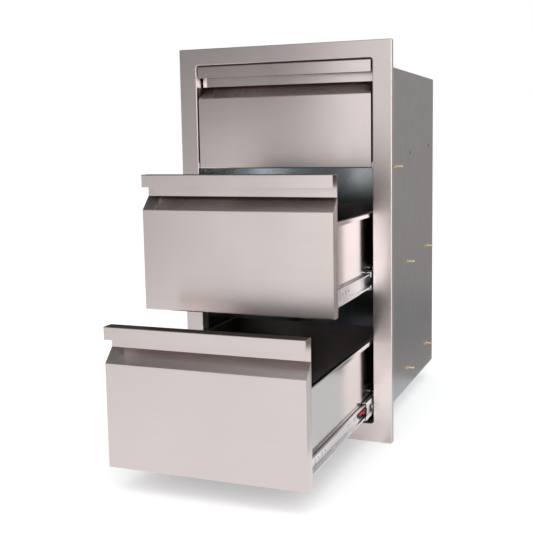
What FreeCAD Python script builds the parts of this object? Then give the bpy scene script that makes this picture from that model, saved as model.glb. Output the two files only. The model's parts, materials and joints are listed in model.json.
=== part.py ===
import FreeCAD, Part
import math
import os
from FreeCAD import Vector

# Built-in drawer unit for an outdoor kitchen island, in millimetres.
# A trim frame and a sheet case carry a tilting towel door and two drawers on ball slides.
# X runs to the right seen from the front, Y runs into the island, Z is up.
# The origin is the middle of the lower edge of the plane that seats on the island's face.
# The two drawers stand pulled out, the lower one further than the middle one.

# Trim frame
unit_width = 445.0
unit_height = 782.0
side_border = 37.5
top_border = 33.0
bottom_border = 37.5
frame_sheet = 1.2
flange_depth = 12.0
seat_lip = 7.0
seat_lip_notch = 9.0
opening_corner_radius = 5.0
frame_edge_radius = 1.5
frame_corner_radius = 2.0

# Case
unit_depth = 550.0
case_sheet = 1.0
case_bend_radius = 1.5
case_front_setback = 4.0
roof_drop = 7.0
roof_side_flange = 12.0
roof_flange_gap = 1.0
back_flange = 15.0
spare_hole_radius = 3.5
spare_hole_depth = 303.0
spare_hole_height = 567.0
spare_hole_rise = 14.0

# Fronts, all bent from sheet with a finger pull along the top
front_sheet = 1.0
front_depth = 25.0
front_side_gap = 3.5
front_end_gap = 3.0
gap_between_fronts = 4.0
drawer_front_height = 246.5
pull_lip_height = 22.4
pull_recess_height = 17.3
pull_slope_height = 24.0
face_setback = 1.0
front_bend_radius = 1.2
front_stop_gap = 0.5
liner_gap = 0.2

# Trays
tray_sheet = 1.0
tray_back_gap = 35.0
tray_rise = 10.0
tray_height = 154.0
tray_side_flange = 9.0
tray_flange_lip = 7.0
tray_bend_radius = 1.5

# How far the drawers and the middle stages of their slides are pulled out
middle_drawer_out = 236.0
bottom_drawer_out = 377.0
middle_stage_out = 36.0
bottom_stage_out = 70.0

# Ball slides, three nested channels each
slide_thickness = 12.7
slide_jamb_gap = 4.5
slide_back_gap = 20.0
slide_rise = 32.0
stage_travel = 185.0
drawer_travel = 315.0
channel_sheet = 1.2
channel_bend_radius = 1.4
channel_web_gap = 1.2
outer_channel_height = 45.5
middle_channel_height = 35.3
inner_channel_height = 25.0
outer_tip_clearance = 1.6
middle_tip_clearance = 0.3
channel_hole_radius = 2.2
channel_hole_pitch = 18.0
channel_slot_setback = 30.0
channel_slot_height = 16.0
channel_slot_width = 2.4
stage_notch_depth = 45.0
stage_notch_height = 16.5

# Ball cages between the channels
cage_sheet = 0.5
cage_end_margin = 2.5
cage_edge_clearance = 0.225
ball_clearance = 0.1
balls_per_row = 4
cage_tip_clearance = 0.45

# Plates that hold the slides, with threaded studs through the case
plate_sheet = 1.2
plate_front_inset = 2.0
plate_back_inset = 28.0
plate_below_slide = 24.0
plate_above_slide = 32.0
stud_radius = 2.5
stud_reach = 20.0
stud_hole_clearance = 0.25
stud_depth = 267.0
stud_pitch = 196.0
middle_stud_rise = 4.5
bottom_stud_rise = 13.2
rear_stud_rise = 13.0
nut_across_flats = 8.0
nut_height = 4.5

# Fasteners in the drawers
screw_radius = 2.0
screw_length = 5.0
screw_head_radius = 4.0
screw_head_height = 2.2
front_screw_spread = 120.0
front_screw_low = 40.0
front_screw_pitch = 80.0
rivet_radius = 2.0
rivet_head_radius = 3.6
rivet_head_height = 1.3
rivet_start = 95.0
rivet_pitch = 190.0
rivet_count = 3

# Release lever in each drawer channel
lever_depth = 338.0
lever_length = 34.0
lever_thickness = 3.0
lever_hub_radius = 6.5
lever_tip_radius = 3.4
lever_bore_clearance = 0.08
lever_stud_radius = 2.0
lever_stud_head_radius = 3.3
lever_stud_head_height = 0.9
lever_side_gap = 0.3
lever_seat_sheet = 1.2
lever_seat_clearance = 0.4
lever_seat_overhang = 2.0
lever_block_length = 10.0
lever_block_thickness = 5.4

# Door hinge and the arms that carry the towel rod
hinge_depth = 7.0
hinge_rise = 6.0
hinge_pin_radius = 2.5
hinge_pin_clearance = 0.08
hinge_head_radius = 4.0
hinge_head_height = 1.8
hinge_side_clearance = 0.2
bracket_sheet = 1.5
bracket_jamb_gap = 0.2
bracket_tongue_height = 11.0
bracket_body_height = 21.0
bracket_body_drop = 15.0
bracket_setback = 1.0
bracket_length = 170.0
bracket_bend_radius = 2.0
bracket_joggle_gap = 2.5
bracket_joggle_run = 5.0
bracket_stud_depth = 157.0
bracket_front_stud_depth = 55.0
bracket_stud_drop = 7.0
arm_sheet = 1.2
arm_radius = 100.0
arm_pan_clearance = 0.5
arm_end_land = 12.0
slot_land = 6.8
door_travel_angle = 72.0
stop_pin_radius = 3.0
stop_pin_clearance = 0.2
stop_pin_jamb_gap = 1.8
stop_pin_head_lip = 1.2
window_inner_radius = 38.0
window_land = 12.8
window_low_angle = 16.0
window_high_angle = 66.0
rod_offset = 15.0
rod_angle = 45.0
rod_lug_radius = 12.0
rod_neck_half_angle = 7.0

# Towel rod with one sprung end
rod_radius = 8.0
rod_wall = 1.0
rod_side_gap = 0.3
rod_shoulder = 2.0
journal_radius = 4.0
journal_clearance = 0.08
journal_overhang = 2.0
plug_insert = 16.0
plug_clearance = 0.08
plug_travel = 6.0

# Sizes worked out from the ones above
front_y = -flange_depth
opening_half = unit_width / 2 - side_border
opening_low = bottom_border
opening_high = unit_height - top_border
jamb_depth = front_depth + front_stop_gap
slide_setback = jamb_depth + slide_jamb_gap
slide_length = unit_depth - slide_setback - slide_back_gap
tray_length = unit_depth - front_depth - tray_back_gap
case_half = opening_half + frame_sheet
case_floor = opening_low - frame_sheet
case_roof = opening_high - roof_drop
case_back_y = front_y + unit_depth
plate_x = case_half - plate_sheet
tray_half = plate_x - slide_thickness
panel_half = opening_half - front_side_gap
bottom_front_low = opening_low + front_end_gap
bottom_front_high = bottom_front_low + drawer_front_height
middle_front_low = bottom_front_high + gap_between_fronts
middle_front_high = middle_front_low + drawer_front_height
door_low = middle_front_high + gap_between_fronts
door_high = opening_high - front_end_gap
hinge_y = front_y + hinge_depth
hinge_z = door_low + hinge_rise
arm_x = panel_half - front_sheet
outer_channel_tip = slide_thickness - channel_sheet - outer_tip_clearance
middle_channel_tip = slide_thickness - channel_sheet - middle_tip_clearance
outer_row_gap = (outer_channel_height - middle_channel_height) / 2 - channel_sheet
inner_row_gap = (middle_channel_height - inner_channel_height) / 2 - channel_sheet
slot_half_width = stop_pin_radius + stop_pin_clearance
slot_radius = arm_radius - slot_land - slot_half_width
stop_pin_depth = jamb_depth + stop_pin_jamb_gap + stop_pin_radius
stop_pin_angle = math.degrees(math.acos((stop_pin_depth - hinge_depth) / slot_radius))
window_outer_radius = slot_radius - slot_half_width - window_land
rod_distance = arm_radius + rod_offset
tube_half = arm_x - arm_sheet - rod_side_gap - rod_shoulder


def block(x_low, x_high, y_low, y_high, z_low, z_high):
    size = Vector(x_high - x_low, y_high - y_low, z_high - z_low)
    return Part.makeBox(size.x, size.y, size.z, Vector(x_low, y_low, z_low))


def rod_along_x(radius, x_low, x_high, y, z):
    return Part.makeCylinder(radius, x_high - x_low, Vector(x_low, y, z), Vector(1, 0, 0))


def mirrored(shape):
    return shape.mirror(Vector(0, 0, 0), Vector(1, 0, 0))


def group(shapes):
    return Part.makeCompound(shapes)


def bent_path(points, radius):
    # A line through the points with every inner corner rounded to the bend radius.
    edges = []
    start = points[0]
    for before, corner, after in zip(points, points[1:], points[2:]):
        back = (before - corner).normalize()
        ahead = (after - corner).normalize()
        half_angle = back.getAngle(ahead) / 2
        tangent = radius / math.tan(half_angle)
        middle = (back + ahead).normalize() * (radius / math.sin(half_angle) - radius)
        arc_start = corner + back * tangent
        arc_end = corner + ahead * tangent
        edges.append(Part.LineSegment(start, arc_start).toShape())
        edges.append(Part.Arc(arc_start, corner + middle, arc_end).toShape())
        start = arc_end
    edges.append(Part.LineSegment(start, points[-1]).toShape())
    return Part.Wire(edges)


def bent_sheet(points, radius, thickness, run):
    # The path is one side of the sheet, and the sheet lies to its inner side.
    profile = bent_path(points, radius).makeOffset2D(thickness, 0, True, True, False)
    return profile.extrude(run)


def polygon_plate(points, run):
    outline = Part.makePolygon(points + [points[0]])
    return Part.Face(outline).extrude(run)


def rounded_frame(half_width, z_low, z_high, radius, y_low, y_high):
    # A rectangle with round corners, as a solid that runs along Y.
    solid = block(-half_width, half_width, y_low, y_high, z_low, z_high)
    corners = []
    for edge in solid.Edges:
        low = edge.Vertexes[0].Point
        high = edge.Vertexes[1].Point
        if abs(low.x - high.x) < 1e-6 and abs(low.z - high.z) < 1e-6:
            corners.append(edge)
    return solid.makeFillet(radius, corners)


def edges_on_plane_y(shape, y, half_width, z_low, z_high):
    # The edges at one depth that lie on a rectangle of the given size.
    found = []
    for edge in shape.Edges:
        box = edge.BoundBox
        if abs(box.YMin - y) > 1e-4 or abs(box.YMax - y) > 1e-4:
            continue
        on_side = abs(abs(box.Center.x) - half_width) < opening_corner_radius
        on_end = abs(box.Center.z - z_low) < opening_corner_radius
        on_end = on_end or abs(box.Center.z - z_high) < opening_corner_radius
        if on_side or on_end:
            found.append(edge)
    return found


def make_trim_frame():
    half = unit_width / 2
    outside = rounded_frame(half, 0, unit_height, frame_corner_radius, front_y, 0)
    hollow = block(
        -half + frame_sheet, half - frame_sheet,
        front_y + frame_sheet, 0,
        frame_sheet, unit_height - frame_sheet,
    )
    frame = outside.cut(hollow)
    jamb_outer_radius = opening_corner_radius + frame_sheet
    jamb = rounded_frame(
        case_half, case_floor, opening_high + frame_sheet,
        jamb_outer_radius, front_y, front_y + jamb_depth,
    )
    opening = rounded_frame(
        opening_half, opening_low, opening_high,
        opening_corner_radius, front_y, front_y + jamb_depth,
    )
    frame = frame.fuse(jamb).cut(opening)
    # Four lips turned inwards behind the flange, notched at the corners, seat on the island.
    side_lip = block(
        half - seat_lip, half, -frame_sheet, 0,
        seat_lip_notch, unit_height - seat_lip_notch,
    )
    low_lip = block(
        -half + seat_lip_notch, half - seat_lip_notch, -frame_sheet, 0,
        0, seat_lip,
    )
    high_lip = low_lip.copy()
    high_lip.translate(Vector(0, 0, unit_height - seat_lip))
    frame = frame.fuse([side_lip, mirrored(side_lip), low_lip, high_lip]).removeSplitter()
    rim = edges_on_plane_y(frame, front_y, half, 0, unit_height)
    frame = frame.makeFillet(frame_edge_radius, rim)
    mouth = edges_on_plane_y(frame, front_y, opening_half, opening_low, opening_high)
    return frame.makeFillet(frame_edge_radius, mouth)


def stud_places():
    # Depth from the front face and height of every stud on one side of the case.
    places = []
    for front_low, rise in ((middle_front_low, middle_stud_rise), (bottom_front_low, bottom_stud_rise)):
        height = front_low + slide_rise + rise
        places.append((stud_depth, height))
        places.append((stud_depth + stud_pitch, height + rear_stud_rise))
    places.append((bracket_front_stud_depth, hinge_z - bracket_stud_drop))
    places.append((bracket_stud_depth, hinge_z - bracket_stud_drop))
    places.append(stop_pin_place())
    return places


def stop_pin_place():
    rise = slot_radius * math.sin(math.radians(stop_pin_angle))
    return (stop_pin_depth, hinge_z + rise)


def spare_hole_places():
    first = (spare_hole_depth, spare_hole_height)
    second = (spare_hole_depth + stud_pitch, spare_hole_height + spare_hole_rise)
    return [first, second]


def make_case_wrapper():
    outer = case_half + case_sheet
    floor = case_floor - case_sheet
    start = front_y + case_front_setback
    path = [
        Vector(-outer, start, case_roof),
        Vector(-outer, start, floor),
        Vector(outer, start, floor),
        Vector(outer, start, case_roof),
    ]
    run = Vector(0, case_back_y - start, 0)
    sheet = bent_sheet(path, case_bend_radius + case_sheet, case_sheet, run)
    holes = []
    for depth, height in stud_places():
        holes.append(rod_along_x(stud_radius + stud_hole_clearance, -outer, outer, front_y + depth, height))
    for depth, height in spare_hole_places():
        holes.append(rod_along_x(spare_hole_radius, -outer, outer, front_y + depth, height))
    return sheet.cut(holes)


def make_case_roof():
    # The roof turns up at the front, behind the jamb, and that flange stops the door.
    front = front_y + jamb_depth
    width = Vector(2 * case_half, 0, 0)
    path = [
        Vector(-case_half, front, opening_high + frame_sheet),
        Vector(-case_half, front, case_roof - case_sheet),
        Vector(-case_half, case_back_y, case_roof - case_sheet),
    ]
    roof = bent_sheet(path, case_bend_radius + case_sheet, -case_sheet, width)
    flange = block(
        case_half - case_sheet, case_half,
        front + case_bend_radius + case_sheet, case_back_y - back_flange - roof_flange_gap,
        case_roof - case_sheet - roof_side_flange, case_roof - case_sheet,
    )
    return roof.fuse([flange, mirrored(flange)])


def make_case_back():
    outside = rounded_frame(
        case_half, case_floor, case_roof - case_sheet,
        case_bend_radius + case_sheet, case_back_y - back_flange, case_back_y,
    )
    inside = block(
        -case_half + case_sheet, case_half - case_sheet,
        case_back_y - back_flange, case_back_y - case_sheet,
        case_floor + case_sheet, case_roof - 2 * case_sheet,
    )
    return outside.cut(inside)


def make_front(low, high):
    # Lip, channel, recess, slope and face are one bent sheet, closed by a cap at each end.
    recess_low = high - pull_lip_height - pull_recess_height
    slope_low = recess_low - pull_slope_height
    face_back = front_y + face_setback + front_sheet
    rear = front_y + front_depth
    outline = [
        Vector(-panel_half, front_y, high - pull_lip_height),
        Vector(-panel_half, front_y, high),
        Vector(-panel_half, rear, high),
        Vector(-panel_half, rear, recess_low),
        Vector(-panel_half, face_back, slope_low),
        Vector(-panel_half, face_back, low + front_sheet),
        Vector(-panel_half, rear, low + front_sheet),
    ]
    sheet = bent_sheet(outline, front_bend_radius, front_sheet, Vector(2 * panel_half, 0, 0))
    cap_front = front_y + face_setback + front_sheet / 2
    cap = polygon_plate(
        [
            Vector(panel_half - front_sheet, cap_front, low + front_sheet / 2),
            Vector(panel_half - front_sheet, cap_front, slope_low),
            Vector(panel_half - front_sheet, rear - front_sheet / 2, recess_low),
            Vector(panel_half - front_sheet, rear, recess_low),
            Vector(panel_half - front_sheet, rear, low + front_sheet / 2),
        ],
        Vector(front_sheet, 0, 0),
    )
    return sheet.fuse([cap, mirrored(cap)]).removeSplitter()


def make_liner(low, high, half_width):
    # A flat plate that closes the back of a front.
    rear = front_y + front_depth
    top = high - pull_lip_height - pull_recess_height - front_sheet
    return block(
        -half_width, half_width, rear - front_sheet, rear,
        low + front_sheet + liner_gap, top - liner_gap,
    )


def make_tray(front_low):
    low = front_low + tray_rise
    high = low + tray_height
    front = front_y + front_depth
    flange_edge = tray_half + tray_side_flange
    path = [
        Vector(-flange_edge, front, high - tray_flange_lip),
        Vector(-flange_edge, front, high),
        Vector(-tray_half + tray_sheet, front, high),
        Vector(-tray_half + tray_sheet, front, low + tray_sheet),
        Vector(tray_half - tray_sheet, front, low + tray_sheet),
        Vector(tray_half - tray_sheet, front, high),
        Vector(flange_edge, front, high),
        Vector(flange_edge, front, high - tray_flange_lip),
    ]
    sheet = bent_sheet(path, tray_bend_radius, -tray_sheet, Vector(0, tray_length, 0))
    wall = block(
        -tray_half + tray_sheet / 2, tray_half - tray_sheet / 2,
        front, front + tray_sheet, low + tray_sheet / 2, high - tray_sheet,
    )
    back_wall = wall.copy()
    back_wall.translate(Vector(0, tray_length - tray_sheet, 0))
    return sheet.fuse([wall, back_wall]).removeSplitter()


def lip_height(row_gap):
    # The turned edge of a channel stops short of the cage in the middle of its ball row.
    return (row_gap - cage_sheet) / 2 - cage_edge_clearance


def channel_profile(points):
    # Points are the distance from the plate towards the tray and the height from the centre.
    return [Vector(plate_x - across, 0, up) for across, up in points]


def make_channel(points, thickness, front_low):
    path = [p + Vector(0, front_y + slide_setback, front_low + slide_rise) for p in channel_profile(points)]
    return bent_sheet(path, channel_bend_radius, thickness, Vector(0, slide_length, 0))


def make_outer_channel(front_low):
    half = outer_channel_height / 2
    lip = half - channel_sheet - lip_height(outer_row_gap)
    points = [
        (outer_channel_tip, lip),
        (outer_channel_tip, half),
        (0, half),
        (0, -half),
        (outer_channel_tip, -half),
        (outer_channel_tip, -lip),
    ]
    return make_channel(points, -channel_sheet, front_low)


def make_middle_channel(front_low):
    half = middle_channel_height / 2
    web = channel_sheet + channel_web_gap
    lip = half - channel_sheet - lip_height(inner_row_gap)
    points = [
        (middle_channel_tip, lip),
        (middle_channel_tip, half),
        (web, half),
        (web, -half),
        (middle_channel_tip, -half),
        (middle_channel_tip, -lip),
    ]
    # A round-ended notch in the front of the web leaves room for the release lever.
    z = front_low + slide_rise
    front = front_y + slide_setback
    radius = stage_notch_height / 2
    end = front + stage_notch_depth - radius
    notch = block(0, plate_x, front - channel_sheet, end, z - radius, z + radius)
    round_end = rod_along_x(radius, 0, plate_x, end, z)
    return make_channel(points, -channel_sheet, front_low).cut([notch, round_end])


def make_inner_channel(front_low):
    half = inner_channel_height / 2 - channel_sheet
    web = slide_thickness - channel_sheet
    tip = 2 * (channel_sheet + channel_web_gap)
    lip = half + channel_sheet + lip_height(inner_row_gap)
    points = [(tip, lip), (tip, half), (web, half), (web, -half), (tip, -half), (tip, -lip)]
    channel = make_channel(points, -channel_sheet, front_low)
    z = front_low + slide_rise
    front = front_y + slide_setback
    cuts = []
    for depth in hole_depths():
        cuts.append(rod_along_x(channel_hole_radius, 0, plate_x, front_y + depth, z))
    slot = block(
        0, plate_x,
        front + channel_slot_setback, front + channel_slot_setback + channel_slot_width,
        z - channel_slot_height / 2, z + channel_slot_height / 2,
    )
    return channel.cut(cuts + [slot])


def hole_depths():
    # Spare holes lie on both sides of the first rivet and in front of the second.
    second = rivet_start + rivet_pitch
    return [rivet_start - channel_hole_pitch, rivet_start + channel_hole_pitch, second - 2 * channel_hole_pitch]


def make_cage(front_low, web_at, tip_at, centre_height, row_gap, travel):
    # A thin strip with its edges turned in, which carries a row of balls on each edge.
    z = front_low + slide_rise
    x = plate_x - web_at
    tip = plate_x - tip_at
    edge = centre_height + cage_sheet / 2
    y = front_y + slide_setback + travel / 2 + cage_end_margin
    length = slide_length - travel - 2 * cage_end_margin
    path = [
        Vector(tip + cage_tip_clearance, y, z + edge),
        Vector(x, y, z + edge),
        Vector(x, y, z - edge),
        Vector(tip + cage_tip_clearance, y, z - edge),
    ]
    strip = bent_sheet(path, 2 * cage_sheet, -cage_sheet, Vector(0, length, 0))
    ball_radius = row_gap / 2 - ball_clearance
    ball_x = tip + cage_tip_clearance / 2 + ball_radius
    balls = []
    for number in range(balls_per_row):
        ball_y = y + (number + 0.5) * length / balls_per_row
        for side in (1, -1):
            balls.append(Part.makeSphere(ball_radius, Vector(ball_x, ball_y, z + side * centre_height)))
    return strip.fuse(balls)


def make_outer_cage(front_low):
    web_at = channel_sheet + (channel_web_gap - cage_sheet) / 2
    centre = (outer_channel_height + middle_channel_height) / 4 - channel_sheet / 2
    tip_at = outer_channel_tip - channel_sheet
    return make_cage(front_low, web_at, tip_at, centre, outer_row_gap, stage_travel)


def make_inner_cage(front_low):
    web_at = 2 * channel_sheet + channel_web_gap + (channel_web_gap - cage_sheet) / 2
    centre = (middle_channel_height + inner_channel_height) / 4 - channel_sheet / 2
    tip_at = middle_channel_tip - channel_sheet
    return make_cage(front_low, web_at, tip_at, centre, inner_row_gap, drawer_travel)


def make_slide_plate(front_low):
    z = front_low + slide_rise
    y = front_y + slide_setback
    return block(
        plate_x, case_half,
        y + plate_front_inset, y + slide_length - plate_back_inset,
        z - plate_below_slide, z + plate_above_slide,
    )


def make_studs():
    studs = []
    for depth, height in stud_places():
        stud = rod_along_x(stud_radius, case_half, case_half + stud_reach, front_y + depth, height)
        studs += [stud, mirrored(stud)]
    return group(studs)


def make_nuts():
    nuts = []
    corner_radius = nut_across_flats / 2 / math.cos(math.pi / 6)
    outside = case_half + case_sheet
    for depth, height in stud_places():
        y = front_y + depth
        corners = []
        for number in range(6):
            angle = math.pi / 3 * number
            step = Vector(0, math.cos(angle), math.sin(angle)) * corner_radius
            corners.append(Vector(outside, y, height) + step)
        nut = polygon_plate(corners, Vector(nut_height, 0, 0))
        nut = nut.cut(rod_along_x(stud_radius, outside, outside + nut_height, y, height))
        nuts += [nut, mirrored(nut)]
    return group(nuts)


def make_front_screws(front_low):
    # Four pan-head screws from inside the tray through its front wall and the liner.
    seat = front_y + front_depth + tray_sheet
    screws = []
    for x in (-front_screw_spread, front_screw_spread):
        for row in (0, 1):
            z = front_low + front_screw_low + row * front_screw_pitch
            shank = Part.makeCylinder(screw_radius, screw_length, Vector(x, seat, z), Vector(0, -1, 0))
            head = Part.makeCylinder(screw_head_radius, screw_head_height, Vector(x, seat, z), Vector(0, 1, 0))
            screws.append(shank.fuse(head))
    return group(screws)


def drill_front_screws(shape, front_low):
    holes = []
    for x in (-front_screw_spread, front_screw_spread):
        for row in (0, 1):
            z = front_low + front_screw_low + row * front_screw_pitch
            base = Vector(x, front_y, z)
            holes.append(Part.makeCylinder(screw_radius, front_depth + 2 * tray_sheet, base, Vector(0, 1, 0)))
    return shape.cut(holes)


def rivet_places(front_low):
    z = front_low + slide_rise
    return [(front_y + rivet_start + n * rivet_pitch, z) for n in range(rivet_count)]


def make_rivets(front_low):
    # Rivets join the drawer channels to the tray's sides, with a head on both faces.
    web_outside = tray_half + channel_sheet
    tray_inside = tray_half - tray_sheet
    rivets = []
    for y, z in rivet_places(front_low):
        shank = rod_along_x(rivet_radius, tray_inside, web_outside, y, z)
        outer_head = rod_along_x(rivet_head_radius, web_outside, web_outside + rivet_head_height, y, z)
        inner_head = rod_along_x(rivet_head_radius, tray_inside - rivet_head_height, tray_inside, y, z)
        rivet = shank.fuse([outer_head, inner_head])
        rivets += [rivet, mirrored(rivet)]
    return group(rivets)


def drill_rivets(shape, front_low):
    holes = []
    for y, z in rivet_places(front_low):
        hole = rod_along_x(rivet_radius, tray_half - 2 * tray_sheet, plate_x, y, z)
        holes += [hole, mirrored(hole)]
    return shape.cut(holes)


def lever_axis(front_low):
    return front_y + lever_depth, front_low + slide_rise


def make_lever_seat(front_low):
    # A moulded seat in the drawer channel with the lever's stud and the block behind it.
    y, z = lever_axis(front_low)
    web = tray_half + channel_sheet
    half = inner_channel_height / 2 - channel_sheet - channel_bend_radius - lever_seat_clearance
    front = y - lever_length - lever_seat_overhang
    rear = y + lever_hub_radius + lever_side_gap
    back = rear + lever_block_length
    plate = block(web, web + lever_seat_sheet, front, back, z - half, z + half)
    stop = block(web, web + lever_block_thickness, rear, back, z - half, z + half)
    lever_face = web + lever_seat_sheet + lever_side_gap + lever_thickness + lever_side_gap
    stud = rod_along_x(lever_stud_radius, web, lever_face, y, z)
    head = rod_along_x(lever_stud_head_radius, lever_face, lever_face + lever_stud_head_height, y, z)
    return plate.fuse([stop, stud, head])


def make_lever(front_low):
    y, z = lever_axis(front_low)
    low_x = tray_half + channel_sheet + lever_seat_sheet + lever_side_gap
    run = Vector(lever_thickness, 0, 0)
    hub = rod_along_x(lever_hub_radius, low_x, low_x + lever_thickness, y, z)
    tip_y = y - lever_length
    tip = rod_along_x(lever_tip_radius, low_x, low_x + lever_thickness, tip_y, z)
    # The tapered arm runs between points where it is tangent to both circles.
    lean = math.asin((lever_hub_radius - lever_tip_radius) / lever_length)
    hub_step = Vector(0, -math.sin(lean), math.cos(lean)) * lever_hub_radius
    tip_step = Vector(0, -math.sin(lean), math.cos(lean)) * lever_tip_radius
    hub_centre = Vector(low_x, y, z)
    tip_centre = Vector(low_x, tip_y, z)
    down = Vector(0, 0, 1)
    hub_low = hub_step - down * (2 * hub_step.z)
    tip_low = tip_step - down * (2 * tip_step.z)
    arm = polygon_plate(
        [hub_centre + hub_step, tip_centre + tip_step, tip_centre + tip_low, hub_centre + hub_low], run,
    )
    bore = rod_along_x(
        lever_stud_radius + lever_bore_clearance, low_x, low_x + lever_thickness, y, z,
    )
    return hub.fuse([tip, arm]).cut(bore).removeSplitter()


def make_hinge_bracket():
    # A strap on the case wall with a tongue that passes inside the jamb to the hinge pin.
    tongue_x = opening_half - bracket_jamb_gap
    wall_x = case_half
    low = hinge_z - bracket_body_drop
    front = front_y + bracket_setback
    joggle = front_y + jamb_depth + bracket_joggle_gap
    path = [
        Vector(tongue_x, front, low),
        Vector(tongue_x, joggle, low),
        Vector(wall_x, joggle + bracket_joggle_run, low),
        Vector(wall_x, front + bracket_length, low),
    ]
    strap = bent_sheet(path, bracket_bend_radius, -bracket_sheet, Vector(0, 0, bracket_body_height))
    notch_low = block(
        tongue_x - 2 * bracket_sheet, wall_x, front_y, joggle,
        low, hinge_z - bracket_tongue_height / 2,
    )
    notch_high = block(
        tongue_x - 2 * bracket_sheet, wall_x, front_y, joggle,
        hinge_z + bracket_tongue_height / 2, low + bracket_body_height,
    )
    pin_hole = rod_along_x(hinge_pin_radius, 0, wall_x, hinge_y, hinge_z)
    return strap.cut([notch_low, notch_high, pin_hole])


def make_hinge_pins():
    tongue = opening_half - bracket_jamb_gap
    head_x = arm_x - arm_sheet - hinge_side_clearance
    pin = rod_along_x(hinge_pin_radius, head_x, tongue, hinge_y, hinge_z)
    head = rod_along_x(hinge_head_radius, head_x - hinge_head_height, head_x, hinge_y, hinge_z)
    pin = pin.fuse(head)
    return group([pin, mirrored(pin)])


def make_hinge_washers():
    low = panel_half + hinge_side_clearance
    high = opening_half - bracket_jamb_gap - bracket_sheet
    washer = rod_along_x(hinge_head_radius, low, high, hinge_y, hinge_z)
    washer = washer.cut(rod_along_x(hinge_pin_radius, low, high, hinge_y, hinge_z))
    return group([washer, mirrored(washer)])


def make_stop_pins():
    depth, height = stop_pin_place()
    inner = arm_x - arm_sheet - hinge_side_clearance
    pin = rod_along_x(stop_pin_radius, inner, case_half, front_y + depth, height)
    head = rod_along_x(
        stop_pin_radius + stop_pin_head_lip, inner - hinge_head_height, inner, front_y + depth, height,
    )
    pin = pin.fuse(head)
    return group([pin, mirrored(pin)])


def polar(radius, angle):
    turn = math.radians(angle)
    return Vector(arm_x - arm_sheet, hinge_y + radius * math.cos(turn), hinge_z + radius * math.sin(turn))


def ring_sector(inner_radius, outer_radius, low_angle, high_angle):
    middle = (low_angle + high_angle) / 2
    edges = [
        Part.Arc(polar(outer_radius, low_angle), polar(outer_radius, middle), polar(outer_radius, high_angle)),
        Part.LineSegment(polar(outer_radius, high_angle), polar(inner_radius, high_angle)),
        Part.Arc(polar(inner_radius, high_angle), polar(inner_radius, middle), polar(inner_radius, low_angle)),
        Part.LineSegment(polar(inner_radius, low_angle), polar(outer_radius, low_angle)),
    ]
    wire = Part.Wire([edge.toShape() for edge in edges])
    return Part.Face(wire).extrude(Vector(arm_sheet, 0, 0))


def make_door_arm():
    # A quadrant plate: its curved slot rides on the stop pin and its lug holds the towel rod.
    low_x = arm_x - arm_sheet
    low_z = door_low + front_sheet + arm_pan_clearance
    front = front_y + face_setback + front_sheet + arm_pan_clearance
    top_angle = math.degrees(math.acos(arm_end_land / arm_radius))
    crest = polar(arm_radius, top_angle)
    tail = polar(arm_radius, 0)
    bow = polar(arm_radius, top_angle / 2)
    foot = Vector(low_x, front, low_z)
    toe = Vector(low_x, tail.y - (tail.z - low_z), low_z)
    heel_top = Vector(low_x, front, crest.z)
    outline = [
        Part.LineSegment(foot, toe),
        Part.LineSegment(toe, tail),
        Part.Arc(tail, bow, crest),
        Part.LineSegment(crest, heel_top),
        Part.LineSegment(heel_top, foot),
    ]
    plate = Part.Face(Part.Wire([edge.toShape() for edge in outline])).extrude(Vector(arm_sheet, 0, 0))
    centre = polar(rod_distance, rod_angle)
    lug = rod_along_x(rod_lug_radius, low_x, arm_x, centre.y, centre.z)
    neck = ring_sector(
        slot_radius, rod_distance, rod_angle - rod_neck_half_angle, rod_angle + rod_neck_half_angle,
    )
    plate = plate.fuse([lug, neck])
    end_angle = stop_pin_angle - door_travel_angle
    slot = ring_sector(
        slot_radius - slot_half_width, slot_radius + slot_half_width, end_angle, stop_pin_angle,
    )
    cuts = [slot]
    for angle in (end_angle, stop_pin_angle):
        end = polar(slot_radius, angle)
        cuts.append(rod_along_x(slot_half_width, low_x, arm_x, end.y, end.z))
    cuts.append(ring_sector(window_inner_radius, window_outer_radius, window_low_angle, window_high_angle))
    cuts.append(rod_along_x(journal_radius + journal_clearance, low_x, arm_x, centre.y, centre.z))
    cuts.append(rod_along_x(hinge_pin_radius + hinge_pin_clearance, low_x, arm_x, hinge_y, hinge_z))
    return plate.cut(cuts).removeSplitter()


def rod_centre():
    centre = polar(rod_distance, rod_angle)
    return centre.y, centre.z


def make_rod_tube():
    y, z = rod_centre()
    tube = rod_along_x(rod_radius, -tube_half, tube_half, y, z)
    return tube.cut(rod_along_x(rod_radius - rod_wall, -tube_half, tube_half, y, z))


def make_rod_plug(clearance):
    # The plug on the right: a body in the tube and a journal through the arm.
    y, z = rod_centre()
    inner = tube_half - plug_insert
    body = rod_along_x(rod_radius - rod_wall - clearance, inner, tube_half + rod_shoulder, y, z)
    journal = rod_along_x(journal_radius, inner, arm_x + journal_overhang, y, z)
    return body.fuse(journal).removeSplitter()


def make_fixed_plug():
    y, z = rod_centre()
    shoulder = rod_along_x(rod_radius, tube_half, tube_half + rod_shoulder, y, z)
    return mirrored(make_rod_plug(0).fuse(shoulder).removeSplitter())


def pulled_out(shape, distance):
    moved = shape.copy()
    moved.translate(Vector(0, -distance, 0))
    return moved


def add_pair(nodes, name, shape):
    nodes[name + "_right"] = shape
    nodes[name + "_left"] = mirrored(shape)


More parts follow.
